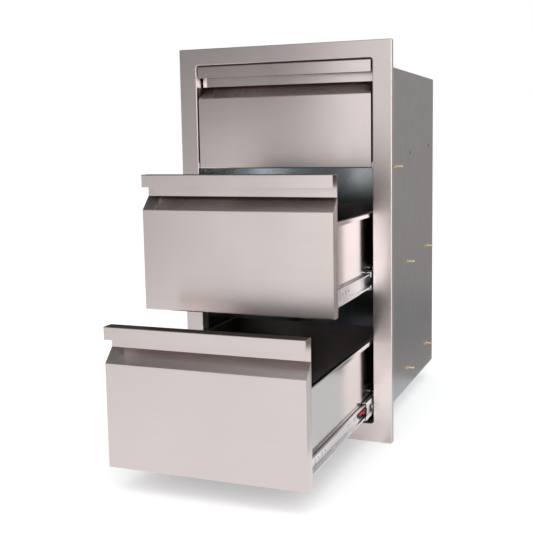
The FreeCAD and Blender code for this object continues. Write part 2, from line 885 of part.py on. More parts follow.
def add_drawer(nodes, name, low, drawer_out, stage_out):
    high = low + drawer_front_height
    add_pair(nodes, name + "_slide_plate", make_slide_plate(low))
    add_pair(nodes, name + "_case_channel", make_outer_channel(low))
    add_pair(nodes, name + "_stage_channel", pulled_out(make_middle_channel(low), stage_out))
    drawer_channel = drill_rivets(make_inner_channel(low), low)
    add_pair(nodes, name + "_drawer_channel", pulled_out(drawer_channel, drawer_out))
    outer_cage = pulled_out(make_outer_cage(low), stage_out / 2)
    nodes[name + "_outer_ball_cages"] = group([outer_cage, mirrored(outer_cage)])
    inner_cage = pulled_out(make_inner_cage(low), (drawer_out + stage_out) / 2)
    nodes[name + "_inner_ball_cages"] = group([inner_cage, mirrored(inner_cage)])
    add_pair(nodes, name + "_lever_seat", pulled_out(make_lever_seat(low), drawer_out))
    add_pair(nodes, name + "_release_lever", pulled_out(make_lever(low), drawer_out))
    nodes[name + "_drawer_front"] = pulled_out(make_front(low, high), drawer_out)
    liner = make_liner(low, high, panel_half - front_sheet - liner_gap)
    nodes[name + "_front_liner"] = pulled_out(drill_front_screws(liner, low), drawer_out)
    tray = drill_rivets(drill_front_screws(make_tray(low), low), low)
    nodes[name + "_tray"] = pulled_out(tray, drawer_out)
    nodes[name + "_front_screws"] = pulled_out(make_front_screws(low), drawer_out)
    nodes[name + "_tray_rivets"] = pulled_out(make_rivets(low), drawer_out)


def add_door(nodes):
    door = make_front(door_low, door_high)
    pin_bore = rod_along_x(
        hinge_pin_radius + hinge_pin_clearance, -panel_half, panel_half, hinge_y, hinge_z,
    )
    nodes["towel_door"] = door.cut(pin_bore)
    nodes["towel_door_liner"] = make_liner(door_low, door_high, arm_x - arm_sheet - liner_gap)
    add_pair(nodes, "door_arm", make_door_arm())
    nodes["towel_rod_tube"] = make_rod_tube()
    nodes["towel_rod_fixed_plug"] = make_fixed_plug()
    nodes["towel_rod_sprung_plug"] = make_rod_plug(plug_clearance)


def build():
    nodes = {}
    nodes["trim_frame"] = make_trim_frame()
    nodes["case_wrapper"] = make_case_wrapper()
    nodes["case_roof"] = make_case_roof()
    nodes["case_back"] = make_case_back()
    nodes["case_studs"] = make_studs()
    nodes["case_nuts"] = make_nuts()
    add_pair(nodes, "hinge_bracket", make_hinge_bracket())
    nodes["hinge_pins"] = make_hinge_pins()
    nodes["hinge_washers"] = make_hinge_washers()
    nodes["door_stop_pins"] = make_stop_pins()
    add_door(nodes)
    add_drawer(nodes, "middle", middle_front_low, middle_drawer_out, middle_stage_out)
    add_drawer(nodes, "bottom", bottom_front_low, bottom_drawer_out, bottom_stage_out)
    return nodes


os.makedirs("parts", exist_ok=True)
for node, shape in build().items():
    shape.exportStep("parts/" + node + ".step")
    print(node, len(shape.Solids), shape.isValid(), round(shape.Volume, 1))
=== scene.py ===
# %% [markdown]
# # A built-in drawer unit for an outdoor kitchen
#
# The object is a stainless steel unit that slides into a cut-out in an island. A flat trim frame
# covers the edge of the cut-out. Behind it is a case of folded sheet, with a towel door that tilts
# out at the top and two drawers that roll out on ball slides.
#
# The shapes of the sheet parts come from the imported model, in metres, so this lesson is about what
# Blender adds: steel that looks brushed, small turned and moulded parts with real detail, and a
# plain studio round them.

# %% Load the frame
import json
import math

import bpy
from mathutils import Matrix, Vector


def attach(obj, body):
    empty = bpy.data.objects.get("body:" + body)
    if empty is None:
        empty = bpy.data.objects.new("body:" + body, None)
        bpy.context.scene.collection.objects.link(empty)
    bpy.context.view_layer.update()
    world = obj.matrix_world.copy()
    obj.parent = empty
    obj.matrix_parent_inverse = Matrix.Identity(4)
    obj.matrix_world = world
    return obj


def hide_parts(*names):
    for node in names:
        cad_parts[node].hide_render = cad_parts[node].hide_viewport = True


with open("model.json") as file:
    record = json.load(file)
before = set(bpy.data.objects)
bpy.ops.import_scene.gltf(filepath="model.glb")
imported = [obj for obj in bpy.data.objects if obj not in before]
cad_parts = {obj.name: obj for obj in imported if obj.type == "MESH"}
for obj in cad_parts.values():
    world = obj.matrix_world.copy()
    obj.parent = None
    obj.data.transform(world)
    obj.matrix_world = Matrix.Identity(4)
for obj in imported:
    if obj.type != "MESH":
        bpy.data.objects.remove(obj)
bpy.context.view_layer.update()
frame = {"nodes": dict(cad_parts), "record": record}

NODES = frame["nodes"]

# %% [markdown]
# ## The camera
#
# The picture is taken from the front right, a little above the middle of the unit, with the drawers
# open towards the viewer. A camera's turn is easiest to think of in three steps: it starts looking
# straight down, is tipped up until it looks just below the horizon, is rolled a touch, and is then
# turned about the vertical. Multiplying three rotation matrices says that in one line.
# The square frame is 533 pixels wide, and the shift slides it a little without turning the camera.

# %% Camera
CAMERA_PLACE = Vector((0.63414, -1.62816, 0.58899))
CAMERA_TURN = math.radians(20.35)
CAMERA_DIP = math.radians(6.94)
CAMERA_ROLL = math.radians(-0.78)
SENSOR_WIDTH = 36
FOCAL_LENGTH = 58.85
LENS_SHIFT = (-0.0629, -0.0310)

lens = bpy.data.cameras.new("camera")
lens.sensor_width = SENSOR_WIDTH
lens.lens = FOCAL_LENGTH
lens.shift_x, lens.shift_y = LENS_SHIFT
camera = bpy.data.objects.new("camera", lens)
bpy.context.scene.collection.objects.link(camera)
tip = Matrix.Rotation(math.pi / 2 - CAMERA_DIP, 4, "X")
turn = Matrix.Rotation(CAMERA_TURN, 4, "Z")
roll = Matrix.Rotation(CAMERA_ROLL, 4, "Z")
camera.matrix_world = Matrix.Translation(CAMERA_PLACE) @ turn @ tip @ roll
bpy.context.scene.camera = camera
print("camera at", tuple(CAMERA_PLACE))

# %% [markdown]
# ## Small helpers for node trees
#
# A node tree is a list of boxes and a list of wires. Writing every box in full makes the recipe hard
# to read, so small helpers do the repeated part: one adds a node and sets its values, one joins an
# output to an input, and so on. Everything else stays plain, so that each material reads like its
# own recipe.

# %% Node helpers
def add_node(tree, kind, inputs=None, **settings):
    """Adds a node of this kind to a tree, with its settings and its unlinked input values."""
    node = tree.nodes.new("ShaderNode" + kind)
    for name, value in settings.items():
        setattr(node, name, value)
    for name, value in (inputs or {}).items():
        node.inputs[name].default_value = value
    return node


def join(tree, output, target):
    """Draws a wire between two sockets."""
    tree.links.new(output, target)


def combine(tree, operation, first, second):
    """Wires two values to a Math node and returns its result."""
    node = add_node(tree, "Math", operation=operation)
    join(tree, first, node.inputs[0])
    join(tree, second, node.inputs[1])
    return node.outputs[0]


def new_group(name, inputs, outputs):
    """Makes an empty node group: inputs are (name, kind, value), outputs are (name, kind)."""
    tree = bpy.data.node_groups.new(name, "ShaderNodeTree")
    for label, kind, value in inputs:
        socket = tree.interface.new_socket(label, in_out="INPUT", socket_type="NodeSocket" + kind)
        if value is not None:
            socket.default_value = value
    for label, kind in outputs:
        tree.interface.new_socket(label, in_out="OUTPUT", socket_type="NodeSocket" + kind)
    entry = tree.nodes.new("NodeGroupInput")
    leave = tree.nodes.new("NodeGroupOutput")
    return tree, entry.outputs, leave.inputs


def place_group(tree, group, inputs=None):
    """Places a node group in a material, with its own values."""
    node = tree.nodes.new("ShaderNodeGroup")
    node.node_tree = group
    for name, value in (inputs or {}).items():
        node.inputs[name].default_value = value
    return node


def new_material(name, **shader_values):
    """Makes a material and sets the plain numbers and colours on its Principled shader."""
    made = bpy.data.materials.new(name)
    made.use_nodes = True
    shader = made.node_tree.nodes["Principled BSDF"]
    for label, value in shader_values.items():
        shader.inputs[label.replace("_", " ")].default_value = value
    return made, made.node_tree, shader


# %% [markdown]
# ## A plain studio
#
# Bare steel shows little of its own: most of what is seen on it is a picture of the room. So the room
# matters more than the lamps. Here the room is white and seamless, a large softbox hangs overhead, and
# dark flags stand out of view where the steel should show a darker tone, as a photographer places
# them. The world is white to the camera, to mirrors and to glass, and a softer grey where it only adds
# fill light.

# %% World
WORLD_FILL = 0.80


def seen_directly(tree):
    """One where a camera, a mirror or a glass looks, and zero where light only adds fill."""
    rays = add_node(tree, "LightPath")
    seen = combine(tree, "MAXIMUM", rays.outputs["Is Camera Ray"], rays.outputs["Is Glossy Ray"])
    return combine(tree, "MAXIMUM", seen, rays.outputs["Is Transmission Ray"])


world = bpy.data.worlds.new("studio")
bpy.context.scene.world = world
world.use_nodes = True
sky = world.node_tree
sky.nodes.clear()
level = add_node(sky, "MapRange", {"To Min": WORLD_FILL})
glow = add_node(sky, "Background", {"Color": (1, 1, 1, 1)})
out = add_node(sky, "OutputWorld")
join(sky, seen_directly(sky), level.inputs["Value"])
join(sky, level.outputs["Result"], glow.inputs["Strength"])
join(sky, glow.outputs[0], out.inputs["Surface"])
bpy.context.scene.view_settings.view_transform = "Standard"
print("world fill", WORLD_FILL)

# %% [markdown]
# The floor is one large white disc. A paper floor never renders quite as white as the picture's
# ground, so its material adds a little glow that only cameras, mirrors and glass see. The shadow of
# the unit still falls on the paper part of it.

# %% Floor
FLOOR_RADIUS = 14
FLOOR_COLOUR = (0.86, 0.86, 0.86, 1)
FLOOR_GLOW = 0.34
FLOOR_DROP = -0.0006

bpy.ops.mesh.primitive_circle_add(
    vertices=96, radius=FLOOR_RADIUS, fill_type="NGON", location=(0, 0, FLOOR_DROP),
)
floor = bpy.context.object
floor.name = "studio_floor"
paper, tree, shader = new_material("white studio paper", Base_Color=FLOOR_COLOUR, Roughness=1.0)
shader.inputs["Specular IOR Level"].default_value = 0
shader.inputs["Emission Color"].default_value = (1, 1, 1, 1)
level = add_node(tree, "Math", {1: FLOOR_GLOW}, operation="MULTIPLY")
join(tree, seen_directly(tree), level.inputs[0])
join(tree, level.outputs[0], shader.inputs["Emission Strength"])
floor.data.materials.append(paper)
print("floor radius", FLOOR_RADIUS)

# %% [markdown]
# A softbox is an area lamp. A flag is a board in the tone that the steel should mirror, and its edges
# fade out, so that no hard line crosses a front. Both stay out of the camera's view.

# %% Softboxes and flags
def hang_softbox(name, place, aim, width, height, radiance):
    """A rectangular lamp at a place, facing a point, that looks this bright in a mirror."""
    lamp = bpy.data.lights.new(name, "AREA")
    lamp.shape = "RECTANGLE"
    lamp.size = width
    lamp.size_y = height
    lamp.energy = radiance * math.pi * width * height
    holder = bpy.data.objects.new(name, lamp)
    bpy.context.scene.collection.objects.link(holder)
    facing = (Vector(aim) - Vector(place)).to_track_quat("-Z", "Y")
    holder.matrix_world = Matrix.Translation(place) @ facing.to_matrix().to_4x4()
    holder.visible_camera = False
    return holder


def stand_flag(name, place, aim, width, height, tone, feather, turn=0):
    """A plain board that only mirrors see; its edges fade out over this part of its size."""
    bpy.ops.mesh.primitive_plane_add(size=1)
    board = bpy.context.object
    board.name = name
    facing = (Vector(aim) - Vector(place)).to_track_quat("Z", "Y")
    stretch = Matrix.Rotation(math.radians(turn), 4, "Z") @ Matrix.Diagonal((width, height, 1, 1))
    board.matrix_world = Matrix.Translation(place) @ facing.to_matrix().to_4x4() @ stretch
    cloth, tree, shader = new_material(name + " cloth", Base_Color=(0, 0, 0, 1), Roughness=1.0)
    shader.inputs["Specular IOR Level"].default_value = 0
    shader.inputs["Emission Color"].default_value = (*tone, 1)
    shader.inputs["Emission Strength"].default_value = 1
    spot = add_node(tree, "TexCoord")
    parts = add_node(tree, "SeparateXYZ")
    join(tree, spot.outputs["Object"], parts.inputs[0])
    fades = []
    for axis in ("X", "Y"):
        size = add_node(tree, "Math", operation="ABSOLUTE")
        fade = add_node(tree, "MapRange", {1: 0.5, 2: 0.5 - feather}, interpolation_type="SMOOTHSTEP")
        join(tree, parts.outputs[axis], size.inputs[0])
        join(tree, size.outputs[0], fade.inputs["Value"])
        fades.append(fade.outputs["Result"])
    join(tree, combine(tree, "MULTIPLY", *fades), shader.inputs["Alpha"])
    board.data.materials.append(cloth)
    board.visible_camera = False
    board.visible_diffuse = False
    board.visible_shadow = False


def grey(tone):
    """The same value for red, green and blue."""
    return (tone, tone, tone)


MIDDLE = Vector((0, -0.05, 0.40))
WARM_GREY = (0.36, 0.318, 0.30)
DIM_GREY = (0.245, 0.225, 0.22)
top = hang_softbox("top_softbox", (0.3, -0.5, 2.6), MIDDLE, 2.6, 2.6, 0.9)
top.visible_glossy = False
hang_softbox("front_softbox", (2.0, -3.2, 1.0), (0, 0, 0.5), 3.4, 2.0, 1.7)
stand_flag("ceiling_flag", (0, -0.2, 3.02), (0, -0.2, 0), 9.0, 9.0, grey(0.50), 0.15)
stand_flag("ceiling_shade", (-2.2, 2.6, 3.0), (-2.2, 2.6, 0), 8.0, 8.0, grey(0.10), 0.17, 39.8)
stand_flag("left_flag", (-2.66, -3.04, 2.55), (-0.1, 0, 2.15), 4.22, 4.22, grey(0.02), 0.15)
stand_flag("left_veil", (-3.9, -5.3, 0.4), (0, 0, 0.4), 3.0, 3.2, grey(0.68), 0.35)
stand_flag("front_ground_flag", (-1.5, -2.52, 0.001), (-1.5, -2.52, 2), 6.0, 5.0, grey(0.88), 0.02)
stand_flag("left_ground_flag", (-2.3, -1.6, 0.002), (-2.3, -1.6, 2), 3.0, 4.0, grey(0.44), 0.2)
stand_flag("left_wall_flag", (-3.8, -2.0, 0.5), (-0.2, 0, 0.5), 4.4, 2.6, grey(0.38), 0.2)
stand_flag("right_wall_flag", (1.6, 3.4, 1.0), (0.2, 0.2, 1.0), 3.0, 3.4, WARM_GREY, 0.06)
stand_flag("right_ground_flag", (1.75, 2.35, 0.001), (1.75, 2.35, 2), 3.1, 3.8, WARM_GREY, 0.002)
stand_flag("right_middle_flag", (1.75, 1.08, 0.0015), (1.75, 1.08, 2), 3.12, 1.3, DIM_GREY, 0.08)
stand_flag("right_near_flag", (1.75, 0.17, 0.001), (1.75, 0.17, 2), 3.1, 0.56, grey(0.62), 0.002)
print("studio is lit")

# %% [markdown]
# ## Effects that several finishes share
#
# Rolling and brushing leave fine lines along the sheet, handling leaves soft clouds, and edges wear
# bright; corners get a painted shade, darker where little light reaches. Each of these is built once
# as a node group with named inputs and outputs, and then placed in many materials with other values,
# the way a workshop uses one brush on many parts.

# %% Group: grain lines
def stretch_contrast(tree, contrast, target):
    """Sets a MapRange node to read from half the contrast below one half to as much above it."""
    spread = add_node(tree, "Math", {1: 0.5}, operation="MULTIPLY")
    join(tree, contrast, spread.inputs[0])
    for operation, limit in (("SUBTRACT", "From Min"), ("ADD", "From Max")):
        edge = add_node(tree, "Math", {0: 0.5}, operation=operation)
        join(tree, spread.outputs[0], edge.inputs[1])
        join(tree, edge.outputs[0], target.inputs[limit])


grain, take, give = new_group(
    "Grain lines",
    [("Vector", "Vector", None), ("Line Density", "Float", 900.0), ("Contrast", "Float", 0.5)],
    [("Lines", "Float"), ("Height", "Float")],
)
fine = add_node(grain, "TexNoise", {"Detail": 4.0, "Roughness": 0.65})
coarse_density = add_node(grain, "Math", {1: 0.16}, operation="MULTIPLY")
coarse = add_node(grain, "TexNoise", {"Detail": 3.0, "Roughness": 0.6})
blend = add_node(grain, "Math", {1: 0.5}, operation="MULTIPLY")
half = add_node(grain, "Math", {1: 0.5}, operation="MULTIPLY_ADD")
lines = add_node(grain, "MapRange")
join(grain, take["Vector"], fine.inputs["Vector"])
join(grain, take["Vector"], coarse.inputs["Vector"])
join(grain, take["Line Density"], fine.inputs["Scale"])
join(grain, take["Line Density"], coarse_density.inputs[0])
join(grain, coarse_density.outputs[0], coarse.inputs["Scale"])
join(grain, fine.outputs["Fac"], blend.inputs[0])
join(grain, coarse.outputs["Fac"], half.inputs[0])
join(grain, blend.outputs[0], half.inputs[2])
join(grain, half.outputs[0], lines.inputs["Value"])
stretch_contrast(grain, take["Contrast"], lines)
join(grain, lines.outputs["Result"], give["Lines"])
join(grain, fine.outputs["Fac"], give["Height"])

# %% Group: soft clouds
clouds, take, give = new_group(
    "Soft clouds",
    [("Vector", "Vector", None), ("Density", "Float", 8.0), ("Contrast", "Float", 0.4)],
    [("Mask", "Float")],
)
soft_patch = add_node(clouds, "TexNoise", {"Detail": 5.0, "Roughness": 0.55, "Distortion": 0.4})
mask = add_node(clouds, "MapRange", interpolation_type="SMOOTHSTEP")
join(clouds, take["Vector"], soft_patch.inputs["Vector"])
join(clouds, take["Density"], soft_patch.inputs["Scale"])
join(clouds, soft_patch.outputs["Fac"], mask.inputs["Value"])
stretch_contrast(clouds, take["Contrast"], mask)
join(clouds, mask.outputs["Result"], give["Mask"])

# %% Group: worn edges
edges, take, give = new_group(
    "Worn edges",
    [("Radius", "Float", 0.0008), ("Break Up", "Float", 60.0)],
    [("Mask", "Float")],
)
rounded = add_node(edges, "Bevel", samples=4)
plain = add_node(edges, "NewGeometry")
match = add_node(edges, "VectorMath", operation="DOT_PRODUCT")
bend = add_node(edges, "MapRange", {"From Min": 0.99, "From Max": 0.80})
place = add_node(edges, "TexCoord")
patches = add_node(edges, "TexNoise", {"Detail": 3.0})
gate = add_node(edges, "MapRange", {"From Min": 0.35, "From Max": 0.6})
join(edges, take["Radius"], rounded.inputs["Radius"])
join(edges, rounded.outputs["Normal"], match.inputs[0])
join(edges, plain.outputs["Normal"], match.inputs[1])
join(edges, match.outputs["Value"], bend.inputs["Value"])
join(edges, place.outputs["Object"], patches.inputs["Vector"])
join(edges, take["Break Up"], patches.inputs["Scale"])
join(edges, patches.outputs["Fac"], gate.inputs["Value"])
worn = combine(edges, "MULTIPLY", bend.outputs["Result"], gate.outputs["Result"])
join(edges, worn, give["Mask"])

# %% Group: painted shade in corners
corners, take, give = new_group(
    "Painted shade in corners",
    [
        ("Reach", "Float", 0.006), ("Amount", "Float", 1.0),
        ("Clear Above", "Float", 0.62), ("Full Below", "Float", 0.14),
    ],
    [("Mask", "Float")],
)
# The mask is painted shade: one where ambient occlusion finds a spot closed in, zero where it is open.
near = add_node(corners, "AmbientOcclusion", samples=4)
closed = add_node(corners, "MapRange")
join(corners, take["Clear Above"], closed.inputs["From Min"])
join(corners, take["Full Below"], closed.inputs["From Max"])
join(corners, take["Reach"], near.inputs["Distance"])
join(corners, near.outputs["AO"], closed.inputs["Value"])
painted_shade = combine(corners, "MULTIPLY", closed.outputs["Result"], take["Amount"])
join(corners, painted_shade, give["Mask"])
print("groups:", [g.name for g in bpy.data.node_groups])

# %% [markdown]
# ## Sheet steel
#
# The fronts and the trim frame are brushed: a belt draws long lines from side to side, so the lines
# are long in X and very thin in Y and Z. A Mapping node stretches the noise that way. The case and
# the trays are left as the mill rolled them, greyer and cloudier, with a fine speckle.
# One function makes all the sheet finishes, because they differ only in their numbers.

# %% Colours over colours
# A Mix node keeps its sockets for every kind of value in one list, so they are named here by number.
FACTOR = 0
FLOAT_A = 2
FLOAT_B = 3
COLOUR_A = 6
COLOUR_B = 7
COLOUR_OUT = 2


def mix_colours(tree, dark, light, mask):
    """Wires two colours and a mask to a Mix node, and returns its colour output."""
    mix = add_node(tree, "Mix", {COLOUR_A: (*dark, 1), COLOUR_B: (*light, 1)}, data_type="RGBA")
    join(tree, mask, mix.inputs[FACTOR])
    return mix.outputs[COLOUR_OUT]


def lay_over(tree, under, colour, mask):
    """Lays one colour over what is wired already, where the mask is one, and returns the result."""
    mix = add_node(tree, "Mix", {COLOUR_B: (*colour, 1)}, data_type="RGBA")
    join(tree, mask, mix.inputs[FACTOR])
    join(tree, under, mix.inputs[COLOUR_A])
    return mix.outputs[COLOUR_OUT]


# %% Sheet finish
FINISHES = {}
CORNER_SHADE_TINT = (0.30, 0.26, 0.25)


def sheet_finish(slot, dark, light, stretch, density, smooth, rough, cloud_size, depth, reach, shade):
    """A rolled or brushed sheet: line colours, line stretch and density, roughness range, bump depth."""
    made, tree, shader = new_material(slot + " sheet", Metallic=1.0)
    place = add_node(tree, "TexCoord")
    along = add_node(tree, "Mapping", {"Scale": stretch})
    join(tree, place.outputs["Object"], along.inputs["Vector"])
    lines = place_group(tree, grain, {"Line Density": density, "Contrast": 0.45})
    join(tree, along.outputs["Vector"], lines.inputs["Vector"])
    haze = place_group(tree, clouds, {"Density": 1 / cloud_size, "Contrast": 0.5})
    join(tree, place.outputs["Object"], haze.inputs["Vector"])
    body = mix_colours(tree, dark, light, lines.outputs["Lines"])
    # The corners get a painted shade: a darker tint of the sheet's colour, where ambient occlusion finds
    # them closed in.
    corner_shade = place_group(tree, corners, {"Reach": reach, "Amount": shade})
    shade_colour = [tone * share for tone, share in zip(dark, CORNER_SHADE_TINT)]
    join(tree, lay_over(tree, body, shade_colour, corner_shade.outputs["Mask"]), shader.inputs["Base Color"])
    gloss = add_node(tree, "MapRange", {"To Min": smooth, "To Max": rough})
    join(tree, haze.outputs["Mask"], gloss.inputs["Value"])
    join(tree, gloss.outputs["Result"], shader.inputs["Roughness"])
    relief = add_node(tree, "Bump", {"Strength": 0.35, "Distance": depth})
    join(tree, lines.outputs["Height"], relief.inputs["Height"])
    join(tree, relief.outputs["Normal"], shader.inputs["Normal"])
    FINISHES[slot] = made


# %% [markdown]
# ## Painted shade inside and under the pulls
#
# A test on the object's own coordinates finds the faces inside a box, and a dark film of painted
# shade is laid over them, thicker in the corners. On the fronts the same painted shade lies on the
# sheltered slopes under the pulls and on the tops of their lips, so there the direction of the face
# decides, and one soft patch of it lies towards the left end. The film makes the steel duller too,
# so it changes the roughness as well as the colour.

# %% Painted shade inside boxes
def lay_film(tree, shader, colour, share):
    """Lays a film of painted shade over a shader's base colour."""
    before = shader.inputs["Base Color"].links[0].from_socket
    join(tree, lay_over(tree, before, colour, share), shader.inputs["Base Color"])


def inside_mask(tree, place, half_width, front, back, low, high):
    """A mask that is one on the faces that look into a box of these limits, and zero outside it."""
    parts = add_node(tree, "SeparateXYZ")
    join(tree, place.outputs["Object"], parts.inputs[0])
    width = add_node(tree, "Math", operation="ABSOLUTE")
    join(tree, parts.outputs["X"], width.inputs[0])
    limits = (
        (width.outputs[0], "LESS_THAN", half_width),
        (parts.outputs["Y"], "GREATER_THAN", front),
        (parts.outputs["Y"], "LESS_THAN", back),
        (parts.outputs["Z"], "GREATER_THAN", low),
        (parts.outputs["Z"], "LESS_THAN", high),
    )
    mask = None
    for value, operation, limit in limits:
        test = add_node(tree, "Math", {1: limit}, operation=operation)
        join(tree, value, test.inputs[0])
        if mask is None:
            mask = test.outputs[0]
            continue
        mask = combine(tree, "MULTIPLY", mask, test.outputs[0])
    return mask


def shade_inside(slot, box, reach, film, thins, thinnest, outside_rough):
    """Lays a dark film of painted shade inside a box, thicker in the corners, thinning between two heights.
    """
    tree = FINISHES[slot].node_tree
    shader = tree.nodes["Principled BSDF"]
    place = add_node(tree, "TexCoord")
    mask = inside_mask(tree, place, *box)
    parts = add_node(tree, "SeparateXYZ")
    join(tree, place.outputs["Object"], parts.inputs[0])
    amount = add_node(tree, "MapRange", {
        "From Min": thins[0], "From Max": thins[1], "To Min": 1.0, "To Max": thinnest,
    })
    join(tree, parts.outputs["Z"], amount.inputs["Value"])
    corner_shade = place_group(tree, corners, {"Reach": reach, "Clear Above": 1.0, "Full Below": 0.35})
    join(tree, amount.outputs["Result"], corner_shade.inputs["Amount"])
    smoother = shader.inputs["Roughness"].links[0].from_socket
    duller = add_node(tree, "Mix", {FLOAT_A: outside_rough}, data_type="FLOAT")
    join(tree, mask, duller.inputs[FACTOR])
    join(tree, smoother, duller.inputs[FLOAT_B])
    join(tree, duller.outputs[0], shader.inputs["Roughness"])
    lay_film(tree, shader, film, combine(tree, "MULTIPLY", mask, corner_shade.outputs["Mask"]))


# %% Painted shade on ledges
# Where the painted shade lies, by how far a face looks up (1 is straight up), where its soft patch
# at the left end lies, in metres, and how open a spot is (1 is fully open).
SLOPES = (0.55, 0.65)
NOT_FLAT = (0.85, 0.75)
LIP_TOPS = (0.93, 0.98)
LEFT_SHADE_START = (-0.16, -0.145)
LEFT_SHADE_END = (-0.085, -0.13)
LEFT_SHADE_SHARE = 0.5
CLEAR_ABOVE = 0.965
FULL_BELOW = 0.83


def ramp(tree, value, start, end, least=0.0, most=1.0, smooth=False):
    """A value that climbs from its least to its most while another goes from start to end."""
    limits = {"From Min": start, "From Max": end, "To Min": least, "To Max": most}
    kind = "SMOOTHSTEP" if smooth else "LINEAR"
    node = add_node(tree, "MapRange", limits, interpolation_type=kind)
    join(tree, value, node.inputs["Value"])
    return node.outputs["Result"]


def shade_on_ledges(slot, reach, heights, least, top_film, film, film_rough):
    """Painted shade on the sheltered slopes, more on the higher ones, and on the tops of the lips."""
    tree = FINISHES[slot].node_tree
    shader = tree.nodes["Principled BSDF"]
    place = add_node(tree, "TexCoord")
    facing = add_node(tree, "SeparateXYZ")
    join(tree, place.outputs["Normal"], facing.inputs[0])
    parts = add_node(tree, "SeparateXYZ")
    join(tree, place.outputs["Object"], parts.inputs[0])
    up, across, height = facing.outputs["Z"], parts.outputs["X"], parts.outputs["Z"]
    corner_shade = place_group(tree, corners, {"Reach": reach, "Clear Above": CLEAR_ABOVE, "Full Below": FULL_BELOW})
    soft_patch = combine(
        tree, "MULTIPLY", ramp(tree, across, *LEFT_SHADE_START, smooth=True),
        ramp(tree, across, *LEFT_SHADE_END, most=LEFT_SHADE_SHARE, smooth=True),
    )
    share = combine(tree, "MAXIMUM", corner_shade.outputs["Mask"], soft_patch)
    for factor in (ramp(tree, up, *SLOPES), ramp(tree, up, *NOT_FLAT), ramp(tree, height, *heights, least)):
        share = combine(tree, "MULTIPLY", share, factor)
    share = combine(tree, "MAXIMUM", share, ramp(tree, up, *LIP_TOPS, most=top_film))
    smoother = shader.inputs["Roughness"].links[0].from_socket
    duller = add_node(tree, "Mix", {FLOAT_B: film_rough}, data_type="FLOAT")
    join(tree, share, duller.inputs[FACTOR])
    join(tree, smoother, duller.inputs[FLOAT_A])
    join(tree, duller.outputs[0], shader.inputs["Roughness"])
    lay_film(tree, shader, film, share)


# %% [markdown]
# ## The sheet finishes
#
# A brushed face also smears reflections across its lines. The Anisotropic value does that, and a
# radial tangent tells it that the lines run along X.

# %% Sheet finishes
def brush_along(slot, axis, strength):
    """Long brushed lines spread a reflection across them, round the named axis."""
    tree = FINISHES[slot].node_tree
    shader = tree.nodes["Principled BSDF"]
    shader.inputs["Anisotropic"].default_value = strength
    across = add_node(tree, "Tangent", direction_type="RADIAL", axis=axis)
    join(tree, across.outputs[0], shader.inputs["Tangent"])


BRUSHED_DARK = (0.775, 0.69, 0.672)
BRUSHED_LIGHT = (0.805, 0.72, 0.702)
# A small scale along X makes the lines long in X.
ALONG_X = (0.02, 1, 1)
sheet_finish(
    "brushed_steel", BRUSHED_DARK, BRUSHED_LIGHT, ALONG_X, density=1400,
    smooth=0.18, rough=0.23, cloud_size=0.16, depth=0.000002, reach=0.030, shade=0.9,
)
sheet_finish(
    "frame", BRUSHED_DARK, BRUSHED_LIGHT, ALONG_X, density=1400,
    smooth=0.29, rough=0.33, cloud_size=0.16, depth=0.000002, reach=0.004, shade=0.3,
)
sheet_finish(
    "case_steel", (0.46, 0.50, 0.525), (0.60, 0.64, 0.665), (1, 1, 0.5), density=330,
    smooth=0.16, rough=0.21, cloud_size=0.09, depth=0.000003, reach=0.05, shade=0.3,
)
sheet_finish(
    "tray_steel", (0.76, 0.73, 0.725), (0.83, 0.80, 0.795), (1, 0.03, 1), density=900,
    smooth=0.12, rough=0.18, cloud_size=0.10, depth=0.000006, reach=0.025, shade=0.6,
)
# The slopes under the pulls and the tops of the lips get a near-black film of painted shade.
shade_on_ledges(
    "brushed_steel", reach=0.045, heights=(0.15, 0.44), least=0.12, top_film=0.9,
    film=(0.036, 0.023, 0.015), film_rough=0.55,
)

# Each box is its half width, front, back, bottom and top, in metres.
CASE_INSIDE = (0.1867, -0.1, 0.5375, 0.0358, 0.7415)
TRAY_INSIDE = (0.1718, -1, 1, 0.0, 1.0)
# The insides of the case and the trays get a dark film of painted shade; in the case it fades out between
# 0.35 and 0.52 m up.
shade_inside(
    "case_steel", CASE_INSIDE, reach=0.08, film=(0.06, 0.07, 0.08),
    thins=(0.35, 0.52), thinnest=0.0, outside_rough=0.33,
)
shade_inside(
    "tray_steel", TRAY_INSIDE, reach=0.14, film=(0.12, 0.10, 0.10),
    thins=(0.0, 1.0), thinnest=1.0, outside_rough=0.15,
)
brush_along("brushed_steel", "X", 0.9)
brush_along("frame", "X", 0.85)
print("sheet finishes:", sorted(FINISHES))

# %% [markdown]
# ## Plated, polished and moulded finishes
#
# The slides are zinc plated: slightly blue, with a soft cloudiness, brighter where edges have rubbed,
# and darker in the folds, where a shade is painted into the colour. The rod is polished tube, the
# weld studs have a thin coat of copper, their nuts are zinc passivated yellow, and the levers and
# their seats are moulded plastic with a fine spark-eroded skin.

# %% Small part finishes
SMALL_PART_SHADE = 0.35
SKIN_SCALE = 3500.0


